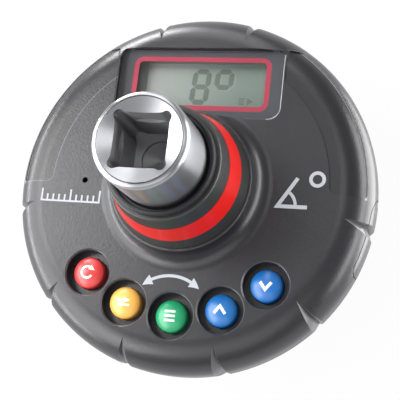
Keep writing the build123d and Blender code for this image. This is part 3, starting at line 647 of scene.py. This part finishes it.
def shaft_material():
    """Turned steel that is darker and duller inside the socket."""
    material = finish("drive_steel", turning, {
        "Colour": paint(178, 179, 183), "Tone Spread": 0.06, "Pitch": 0.35, "Depth": 0.0006,
        "Roughness": 0.29, "Roughness Spread": 0.04},
        {"Metallic": 1.0, "Anisotropic": 0.85, "Anisotropic Rotation": 0.25})
    tree, shader, source = opened(material)
    around = add(tree, "ShaderNodeTangent", direction_type="RADIAL", axis="Z")
    tree.links.new(around.outputs[0], shader["Tangent"])
    x, y, z, radius = place_parts(tree)
    rim_foot = tip_z - RIM_DEPTH
    side = maths(tree, "MAXIMUM", maths(tree, "ABSOLUTE", x), maths(tree, "ABSOLUTE", y))
    bore = all_of(tree, under(tree, side, SOCKET_HALF), between(tree, z, SOCKET_FOOT, rim_foot))
    ring = all_of(tree, between(tree, radius, *RIM_LINE), over(tree, z, rim_foot))
    colour = mix_colours(tree, bore, source["Colour"], paint(164, 164, 167))
    colour = mix_colours(tree, ring, colour, paint(96, 96, 99))
    tree.links.new(colour, shader["Base Color"])
    rough = maths(tree, "MULTIPLY_ADD", bore, SOCKET_DULLING, source["Roughness"])
    tree.links.new(rough, shader["Roughness"])
    return material


dress(shaft_material(), "torsion_shaft")
spring_finish = finish("spring_steel", tones, {
    "First": paint(190, 190, 192), "Second": paint(160, 160, 165), "Size": 1.5, "Depth": 0.001,
    "Roughness": 0.25}, {"Metallic": 1.0})
dress(spring_finish, "catch_ball")
dress(finish("screw_steel", turning, {
    "Colour": paint(84, 84, 88), "Tone Spread": 0.15, "Pitch": 0.25, "Depth": 0.004,
    "Roughness": 0.35, "Roughness Spread": 0.1}, {"Metallic": 1.0}),
    "case_screws", "flange_screws", "board_screws")
dress(finish("contact_plate", tones, {
    "First": paint(206, 200, 186), "Second": paint(180, 176, 166), "Size": 0.6, "Stretch": (0.1, 1, 1),
    "Depth": 0.001, "Roughness": 0.25}, {"Metallic": 1.0}), "door_contact", "battery_spring")

# %% [markdown]
# ## Keys
# The five caps are glossy moulded plastic, each in its own colour. A raised specular level gives them the
# soft shine that a finger leaves, and a very fine grain keeps the shine from looking like glass. The
# plungers below the caps and the holder of the cell are a plain pale plastic, and the frame round the
# display is greyer.

# %% Key caps
CAPS = {
    "clear": ("red", (226, 60, 57)),
    "unit": ("yellow", (251, 187, 82)),
    "memory": ("green", (14, 160, 104)),
    "up": ("blue", (4, 108, 184)),
    "down": ("blue", (3, 105, 184)),
}
for key, (_, colour) in CAPS.items():
    dress(finish(f"cap_{key}", grain, {
        "Colour": paint(*colour), "Tone Spread": 0.05, "Grain": 0.5, "Depth": 0.003,
        "Roughness": 0.34}, {"Specular IOR Level": 0.9}), f"{key}_button")
dress(finish("inner_plastic", grain, {
    "Colour": paint(196, 194, 186), "Tone Spread": 0.08, "Grain": 0.6, "Depth": 0.01,
    "Roughness": 0.5}), *(f"{key}_switch_stem" for key in CAPS), "battery_holder")
dress(finish("frame_plastic", grain, {
    "Colour": paint(118, 128, 121), "Tone Spread": 0.06, "Grain": 0.6, "Depth": 0.004,
    "Roughness": 0.5}), "lcd_frame")

# %% [markdown]
# ## Inside the case
# These pieces show only when the model is taken apart, but each still has the finish of the real one:
# green laminate with its woven glass, black cast resin, amber film, and the blue jacket of the cell.

# %% Inner pieces
dress(finish("board_laminate", tones, {
    "First": paint(28, 96, 62), "Second": paint(20, 76, 50), "Size": 0.5, "Stretch": (1, 0.2, 1),
    "Depth": 0.003, "Roughness": 0.35, "Roughness Spread": 0.08}), "main_board")
dress(finish("chip_resin", grain, {
    "Colour": paint(34, 34, 36), "Tone Spread": 0.15, "Grain": 0.25, "Depth": 0.01,
    "Roughness": 0.55}), "board_chips", "gyro_sensor", "buzzer")
dress(finish("film_amber", tones, {
    "First": paint(196, 120, 40), "Second": paint(168, 96, 30), "Size": 0.8, "Stretch": (0.1, 1, 1),
    "Depth": 0.002, "Roughness": 0.3, "Roughness Spread": 0.05}), "strain_gauges", "gauge_ribbon")
dress(finish("socket_plastic", grain, {
    "Colour": paint(226, 222, 208), "Tone Spread": 0.05, "Grain": 0.3, "Depth": 0.005,
    "Roughness": 0.45}), "ribbon_socket")
dress(finish("switch_shell", grain, {
    "Colour": paint(44, 44, 46), "Tone Spread": 0.1, "Grain": 0.3, "Depth": 0.006,
    "Roughness": 0.4}), "switch_bodies")
dress(finish("contact_rubber", tones, {
    "First": paint(58, 58, 60), "Second": paint(150, 150, 154), "Size": 0.25, "Stretch": (1, 0.1, 0.1),
    "Depth": 0.002, "Roughness": 0.6, "Roughness Spread": 0.05}), "zebra_strips")
dress(finish("cell_jacket", tones, {
    "First": paint(36, 52, 92), "Second": paint(30, 44, 80), "Size": 4.0, "Depth": 0.002,
    "Roughness": 0.3, "Roughness Spread": 0.05}), "battery_cell")

# %% [markdown]
# ## The display window
# Three layers make the window: a clear lens, the mask printed round its opening, and the display glass
# far below. The lens is real glass to the camera. Rays that go to a lamp pass it as if it weren't there,
# because a renderer would otherwise need very many rays to light what lies behind it.

# %% Lens
LENS_INDEX = 1.49
SMUDGE_SCALE, SMUDGE_RANGE, SMUDGE_ROUGHNESS = 120.0, (0.4, 0.8), 0.04


def lens_material():
    """Clear plastic that lets light through to what is behind it."""
    material, tree, shader = new_material("lens_plastic")
    shader.inputs["Base Color"].default_value = (1, 1, 1, 1)
    shader.inputs["Transmission Weight"].default_value = 1.0
    shader.inputs["IOR"].default_value = LENS_INDEX
    smudges = noise(tree, object_place(tree), SMUDGE_SCALE, 3.0)
    rough = ramp(tree, smudges, *SMUDGE_RANGE, 0.0, SMUDGE_ROUGHNESS)
    tree.links.new(rough, shader.inputs["Roughness"])
    rays = add(tree, "ShaderNodeLightPath").outputs
    passing = maths(tree, "MAXIMUM", rays["Is Shadow Ray"], rays["Is Diffuse Ray"])
    clear = add(tree, "ShaderNodeBsdfTransparent")
    mixed = add(tree, "ShaderNodeMixShader", {0: passing, 1: shader.outputs[0], 2: clear.outputs[0]})
    tree.links.new(mixed.outputs[0], tree.nodes["Material Output"].inputs["Surface"])
    return material


dress(lens_material(), "display_lens")

# %% [markdown]
# The mask is one dark print with a red border. The border is a band of even width round a rectangle with
# rounded corners, so it is drawn by distance: the points that are closer to that rounded rectangle than
# half the band's width are red.

# %% Mask with its red border
BORDER_CENTRE, BORDER_HALF = (0.0, 28.7), (18.45, 6.85)
BORDER_CORNER, BORDER_STROKE, BORDER_SOFT = 1.95, 1.3, 0.08


def mask_material():
    """Dark print with a red line along a rounded rectangle."""
    material = finish("mask_ink", grain, {
        "Colour": paint(78, 80, 86), "Tone Spread": 0.06, "Grain": 0.3, "Depth": 0.002,
        "Roughness": 0.45})
    tree, shader, source = opened(material)
    x, y, _, _ = place_parts(tree)
    beyond = []
    for value, half, centre in zip((x, y), BORDER_HALF, BORDER_CENTRE):
        away = maths(tree, "ABSOLUTE", maths(tree, "SUBTRACT", value, centre * MM))
        beyond.append(maths(tree, "SUBTRACT", away, (half - BORDER_CORNER) * MM))
    distance = maths(tree, "ABSOLUTE", corner_distance(tree, *beyond, BORDER_CORNER))
    edge = BORDER_STROKE / 2
    band = ramp(tree, distance, (edge - BORDER_SOFT) * MM, (edge + BORDER_SOFT) * MM, 1.0, 0.0)
    colour = mix_colours(tree, band, source["Colour"], paint(184, 52, 77))
    tree.links.new(colour, shader["Base Color"])
    return material


dress(mask_material(), "display_mask")

# %% [markdown]
# The display itself is painted to fade from a light grey at its left to a darker and greener one at its
# right.

# %% Display glass
GLASS_LEFT, GLASS_RIGHT = -16.5, 10.0


def glass_material():
    """Grey-green reflector that fades along the display."""
    material = finish("lcd_glass", tones, {
        "First": paint(161, 167, 162), "Second": paint(157, 164, 159), "Size": 3.0, "Depth": 0.0,
        "Roughness": 0.30, "Roughness Spread": 0.04})
    tree, shader, source = opened(material)
    parts = add(tree, "ShaderNodeSeparateXYZ", {0: object_place(tree)}).outputs
    share = ramp(tree, parts["X"], GLASS_LEFT * MM, GLASS_RIGHT * MM)
    colour = mix_colours(tree, share, source["Colour"], paint(121, 138, 129))
    tree.links.new(colour, shader["Base Color"])
    return material


dress(glass_material(), "lcd_panel")

# %% [markdown]
# ## A skin over rings
# Every new piece is a closed skin over a row of rings. A ring is a closed loop of points, and the next
# ring is the same loop further along the piece. Joining them gives the sides, and one face closes each
# end, unless the row itself runs round to its start. The arrays hold all points at once, so no loop in
# Python visits a single one.

# %% Skins and pieces
def skin_over(rings, loop=False):
    """Points and faces of a skin: each side face joins points j and j + 1 of ring i to those of ring i + 1.

    Rings run anticlockwise as seen from the end of the row, so that the faces point outwards.
    """
    rows, count = rings.shape[:2]
    near = np.arange(rows if loop else rows - 1)[:, None] * count
    far = (near + count) % (rows * count)
    here, there = np.arange(count), (np.arange(count) + 1) % count
    faces = [np.stack([near + here, near + there, far + there, far + here], axis=-1).reshape(-1, 4)]
    if not loop:
        faces.append(np.stack([here[::-1], (rows - 1) * count + here]))
    return rings.reshape(-1, 3), faces


def make_piece(name, skins, body, material):
    """One piece of several skins. It rides on a body and takes the finish that it is given."""
    points = np.concatenate([skin_points for skin_points, _ in skins])
    faces, first = [], 0
    for skin_points, skin_faces in skins:
        for block in skin_faces:
            faces += (block + first).tolist()
        first += len(skin_points)
    mesh = bpy.data.meshes.new(name)
    mesh.from_pydata((points * MM).tolist(), [], faces)
    mesh.materials.append(material)
    piece = put_in_scene(name, mesh)
    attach(piece, body)
    print(name, "has", len(skins), "parts and", len(faces), "faces")
    return piece


# %% [markdown]
# ## The catch spring
# The small spring behind the ball of the male square is round wire wound into a helix. Its end turns lie
# flat, so that it stands square in its hole. It reaches from the foot of its hole to just short of the
# ball.

# %% Coil
WIRE_RADIUS, COIL_RADIUS, COIL_TURNS, FLAT_TURNS = 0.25, 1.8, 5.0, 0.8
BALL_TRAVEL, BALL_GAP = 1.0, 0.01


def coil_rings(start, end, height, steps=200, sides=10):
    """Wire round a helix along X: (x(t), R cos t, R sin t), with circles of the wire's radius square to it.

    The pitch is one wire's width in the end turns and even between them.
    """
    turns = np.linspace(0.0, COIL_TURNS, steps)
    flat = FLAT_TURNS * 2 * WIRE_RADIUS
    bends = [0, FLAT_TURNS, COIL_TURNS - FLAT_TURNS, COIL_TURNS]
    along = np.interp(turns, bends, [start, start + flat, end - flat, end])
    angle = turns * 2 * math.pi
    outward = np.stack([np.zeros(steps), np.cos(angle), np.sin(angle)], axis=1)
    centre = COIL_RADIUS * outward + np.stack([along, np.zeros(steps), np.full(steps, height)], axis=1)
    ahead = np.gradient(centre, axis=0)
    ahead /= np.linalg.norm(ahead, axis=1, keepdims=True)
    other = np.cross(ahead, outward)
    wire = np.linspace(0.0, 2 * math.pi, sides, endpoint=False)[:, None]
    circle = np.cos(wire) * outward[:, None, :] + np.sin(wire) * other[:, None, :]
    return centre[:, None, :] + WIRE_RADIUS * circle


ball_low, ball_high = (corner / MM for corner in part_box("catch_ball"))
foot_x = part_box("catch_spring")[0].x / MM
ball_radius = (ball_high.x - ball_low.x) / 2
touch = math.sqrt((ball_radius + WIRE_RADIUS) ** 2 - COIL_RADIUS ** 2) + BALL_GAP
ball_x, ball_z = (ball_low.x + ball_high.x) / 2, (ball_low.z + ball_high.z) / 2
coil = make_piece("catch_coil", [skin_over(coil_rings(foot_x + WIRE_RADIUS, ball_x - touch, ball_z))],
                  "case", spring_finish)
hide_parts("catch_spring")
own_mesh(coil)

# %% [markdown]
# ## Printed marks
# Ink follows the surface that it lies on. The face is flat up to its fillet, and the top of a key is part
# of a sphere, so each surface is a function that gives a height for any X and Y.

# %% Surfaces under the ink
def face_skin(x, y):
    """The face with its fillet: r - sqrt(r^2 - d^2) above the flat, d inwards from the fillet's foot."""
    inward = np.clip(FILLET_FOOT - np.hypot(x, y), 0.0, FILLET_RADIUS)
    return FACE_Z + FILLET_RADIUS - np.sqrt(FILLET_RADIUS ** 2 - inward ** 2)


def dome_skin(centre, radius, apex):
    """A spherical key top, whose height falls by r - sqrt(r^2 - distance^2) away from its centre."""
    def height(x, y):
        distance = (x - centre[0]) ** 2 + (y - centre[1]) ** 2
        return apex - radius + np.sqrt(radius ** 2 - distance)
    return height


rise = face_skin(FILLET_FOOT - 1.0, 0.0) - FACE_Z
print("the face rises", round(float(rise), 3), "in the first millimetre of its fillet")

# %% [markdown]
# Every mark is made of strokes. A stroke is a thin flat profile carried along a path. The profile is a few
# points wide, so that it can bend over the dome of a key, and its edges slope a little, as thick ink does.
# Where a path turns a sharp corner, the stroke is widened by one over the cosine of half the turn, as in a
# mitre.

# %% Stroke
INK, SUNK, INK_TOP = 0.035, 0.02, 0.94


def stroke(path, width, height, bow=7):
    """Skin of a stroke: path(t) + normal(t) * across(s) * width(t) / (2 * cos(turn(t) / 2)).

    The upper row of each ring stands INK above the surface that height(x, y) gives, and the lower row
    SUNK below it.
    """
    loop = bool(np.allclose(path[0], path[-1]))
    path = path[:-1] if loop else path
    before, after = path - np.roll(path, 1, axis=0), np.roll(path, -1, axis=0) - path
    if not loop:
        before[0], after[-1] = after[0], before[-1]
    before /= np.linalg.norm(before, axis=1, keepdims=True)
    after /= np.linalg.norm(after, axis=1, keepdims=True)
    ahead = before + after
    ahead /= np.linalg.norm(ahead, axis=1, keepdims=True)
    normal = np.stack([-ahead[:, 1], ahead[:, 0]], axis=1)
    half = np.broadcast_to(np.asarray(width, float), len(path)) / 2 / np.sum(ahead * before, axis=1)
    upper = np.linspace(1.0, -1.0, bow)
    across = np.concatenate([upper * INK_TOP, upper[::-1]])
    lift = np.concatenate([np.full(bow, INK), np.full(bow, -SUNK)])
    place = path[:, None, :] + normal[:, None, :] * (half[:, None] * across[None, :])[..., None]
    level = height(place[..., 0], place[..., 1]) + lift[None, :]
    return skin_over(np.concatenate([place, level[..., None]], axis=-1), loop)


print("ink stands", INK, "high")

# %% [markdown]
# The signs need only three kinds of path: straight runs, arcs, and either of them drawn to a point.

# %% Paths
POINT_WIDTH = 0.05


def line(*corners, count=9):
    """Points along straight runs from corner to corner."""
    corners = np.asarray(corners, float)
    along = np.linspace(0.0, len(corners) - 1, count * (len(corners) - 1) + 1)
    at = np.arange(len(corners))
    return np.stack([np.interp(along, at, corners[:, axis]) for axis in (0, 1)], axis=1)


def arc(centre, radius, start, end, count=33):
    """Points along a circle's arc, between two angles in degrees."""
    angle = np.radians(np.linspace(start, end, count))
    return np.asarray(centre, float) + radius * np.stack([np.cos(angle), np.sin(angle)], axis=1)


def taper(path, width):
    """A path with a width that falls from its start to a point at its end."""
    return path, np.linspace(width, POINT_WIDTH, len(path))


# %% [markdown]
# ## Marks on the face
# Three plain signs are printed on the face: a two-way turn arrow, a scale of ticks, and the sign for an
# angle with a small ring for degrees.

# %% Face marks
ANGLE_CORNER, ANGLE_DEGREES = np.array([24.6, -4.3]), 58
FLAT_ARM, STEEP_ARM, ARM_WIDTH = 7.6, 8.8, 1.0
ARC_RADIUS, ARC_ENDS, ARC_WIDTH = 4.6, (6.4, 51.6), 0.8
RING_CENTRE, RING_RADIUS, RING_WIDTH = (34.24, 3.08), 1.68, 0.92
TURN_CENTRE, TURN_RADIUS, TURN_ENDS, TURN_WIDTH = (-0.75, -35.2), 11.2, (62, 118), 0.8
HEAD_DEGREES, HEAD_WIDTH, HEAD_POINTS = 14, 2.8, 9
SCALE_Y, SCALE_ENDS, SCALE_WIDTH = -6.0, (-39.6, -23.2), 0.5
TICK_COUNT, TALL_EVERY, TALL_TICK, SHORT_TICK = 11, 5, 3.2, 1.8

face_ink = finish("face_ink", grain, {
    "Colour": paint(188, 193, 200), "Tone Spread": 0.08, "Grain": 0.25, "Depth": 0.004,
    "Roughness": 0.5})
steep = math.radians(ANGLE_DEGREES)
steep_end = ANGLE_CORNER + np.array([math.cos(steep), math.sin(steep)]) * STEEP_ARM
angle_sign = [
    (line(ANGLE_CORNER + (FLAT_ARM, 0), ANGLE_CORNER, steep_end), ARM_WIDTH),
    (arc(ANGLE_CORNER, ARC_RADIUS, *ARC_ENDS), ARC_WIDTH),
    (arc(RING_CENTRE, RING_RADIUS, 0, 360), RING_WIDTH),
]

turn_sign = [(arc(TURN_CENTRE, TURN_RADIUS, *TURN_ENDS), TURN_WIDTH)]
for foot, way in zip(TURN_ENDS, (-1, 1)):
    head = arc(TURN_CENTRE, TURN_RADIUS, foot, foot + way * HEAD_DEGREES, HEAD_POINTS)
    turn_sign.append(taper(head, HEAD_WIDTH))

ticks, half = np.linspace(*SCALE_ENDS, TICK_COUNT), SCALE_WIDTH / 2
tick_scale = [(line((ticks[0] - half, SCALE_Y), (ticks[-1] + half, SCALE_Y)), SCALE_WIDTH)]
for i, x in enumerate(ticks):
    top = SCALE_Y + (TALL_TICK if i % TALL_EVERY == 0 else SHORT_TICK)
    tick_scale.append((line((x, SCALE_Y + half), (x, top)), SCALE_WIDTH))

for name, strokes in (("angle_sign", angle_sign), ("turn_sign", turn_sign), ("tick_scale", tick_scale)):
    skins = [stroke(path, width, face_skin) for path, width in strokes]
    make_piece(name, skins, "case", face_ink)

# %% [markdown]
# ## Signs on the keys
# Each key has a white sign that says what it does without a word: an open ring with an arrow to clear,
# two opposed arrows to change the unit, a stack of bars for the memory, and a chevron up or down.

# %% Key signs
KEY_CIRCLE, KEY_PITCH, KEY_DOME = 34.16, 21.92, 6.0
HEAD_SHARE = 1.05
BAR_ROWS, BAR_WIDTH, CHEVRON_WIDTH = (-1.15, 0.0, 1.15), 0.62, 0.78
key_ink = finish("key_ink", grain, {
    "Colour": paint(240, 240, 238), "Tone Spread": 0.05, "Grain": 0.3, "Depth": 0.002,
    "Roughness": 0.4})


def arrow(start, end, width=0.55, head=1.5):
    """A straight shaft and a head that narrows to a point."""
    start, end = np.asarray(start, float), np.asarray(end, float)
    neck = end - (end - start) / np.linalg.norm(end - start) * head
    return [(line(start, neck), width), taper(line(neck, end), head * HEAD_SHARE)]


SIGNS = {
    "clear": [(arc((0, 0), 1.5, 60, 330), 0.6), taper(line((0.62, 1.32), (1.95, 0.62)), 1.5)],
    "unit": arrow((-1.7, 0.62), (1.7, 0.62)) + arrow((1.7, -0.62), (-1.7, -0.62)),
    "memory": [(line((-1.4, y), (1.4, y)), BAR_WIDTH) for y in BAR_ROWS],
    "up": [(line((-1.45, -0.85), (0, 1.05), (1.45, -0.85)), CHEVRON_WIDTH)],
    "down": [(line((-1.45, 0.85), (0, -1.05), (1.45, 0.85)), CHEVRON_WIDTH)],
}
for i, (key, strokes) in enumerate(SIGNS.items()):
    angle = math.radians(-90 + (i - 2) * KEY_PITCH)
    centre = KEY_CIRCLE * np.array([math.cos(angle), math.sin(angle)])
    dome = dome_skin(centre, KEY_DOME, cap_z)
    skins = [stroke(path + centre, width, dome) for path, width in strokes]
    make_piece(f"{key}_sign", skins, f"{key}_key", key_ink)

# %% [markdown]
# ## Figures of the display
# A display of this kind draws a figure with seven bars. Each bar is a flat plate with pointed ends, and
# small gaps between the plates let every bar be switched by itself. Here the first place shows an eight,
# and the upper bars of the second make the ring for degrees.

# %% Bars
DIGIT_WIDTH, DIGIT_HEIGHT = 5.3, 10.2
BAR, GAP = 1.45, 0.1
SLANT = math.tan(math.radians(3.5))
FIGURES = (("abcdefg", (-3.8, 24.0)), ("abfg", (2.55, 24.0)))


def bar_outline(start, end):
    """Flat hexagon along a line, pointed at both ends by half its width."""
    start, end = np.asarray(start, float), np.asarray(end, float)
    along = (end - start) / np.linalg.norm(end - start)
    side = np.array([-along[1], along[0]]) * BAR / 2
    inset = along * (BAR / 2 + GAP)
    tip = along * GAP
    return np.array([start + tip, start + inset - side, end - inset - side,
                     end - tip, end - inset + side, start + inset + side])


def seven_bars(shown, corner):
    """Outlines of the bars that are shown, lettered a to f round from the top, with g in the middle."""
    w, h = DIGIT_WIDTH - BAR, DIGIT_HEIGHT - BAR
    ends = {
        "a": ((0, h), (w, h)), "b": ((w, h / 2), (w, h)), "c": ((w, 0), (w, h / 2)), "d": ((0, 0), (w, 0)),
        "e": ((0, 0), (0, h / 2)), "f": ((0, h / 2), (0, h)), "g": ((0, h / 2), (w, h / 2)),
    }
    outlines = []
    for letter in shown:
        outline = bar_outline(*ends[letter]) + BAR / 2
        outline[:, 0] += outline[:, 1] * SLANT
        outlines.append(outline + np.asarray(corner, float))
    return outlines


figures = [outline for letters, corner in FIGURES for outline in seven_bars(letters, corner)]
print(len(figures), "bars in", len(FIGURES), "places")

# %% [markdown]
# The bars are in the glass, and the mirror behind it shows their shadows a little to one side. So each
# figure is drawn twice, and the small signs at the right once.

# %% Display pieces
SHADE_SHIFT = (0.45, -0.35)
SMALL_X, SMALL_ROWS, SMALL_WIDTH, SMALL_HEIGHT = 10.2, (24.3, 25.0, 25.7), 1.5, 0.4
POINTER = [(12.5, 24.2), (14.1, 25.2), (12.5, 26.2)]
PLATE_SUNK, SHADE_RISE, BAR_RISE = 0.02, 0.02, 0.05


def plate(outline, low, high):
    """Skin of a flat plate between two heights: the outline at the low one, then at the high one."""
    levels = np.array([low, high])[:, None, None]
    outline = np.broadcast_to(outline, (2, *outline.shape))
    return skin_over(np.concatenate([outline, np.broadcast_to(levels, (*outline.shape[:2], 1))], axis=-1))


def show(name, outlines, rise, first, second):
    """A piece of flat plates that stand up from the display glass, in two tones of a colour."""
    ink = finish(name, tones, {
        "First": paint(*first), "Second": paint(*second), "Size": 1.0, "Depth": 0.0,
        "Roughness": 0.35, "Roughness Spread": 0.03})
    skins = [plate(outline, glass_z - PLATE_SUNK, glass_z + rise) for outline in outlines]
    make_piece(name, skins, "case", ink)


shades = [outline + np.asarray(SHADE_SHIFT) for outline in figures]
right = SMALL_X + SMALL_WIDTH
small = [np.array([(SMALL_X, y), (right, y), (right, y + SMALL_HEIGHT), (SMALL_X, y + SMALL_HEIGHT)])
         for y in SMALL_ROWS]
small.append(np.array(POINTER))
show("display_shades", shades, SHADE_RISE, (140, 150, 142), (136, 147, 139))
show("display_bars", figures + small, BAR_RISE, (96, 108, 98), (90, 102, 94))
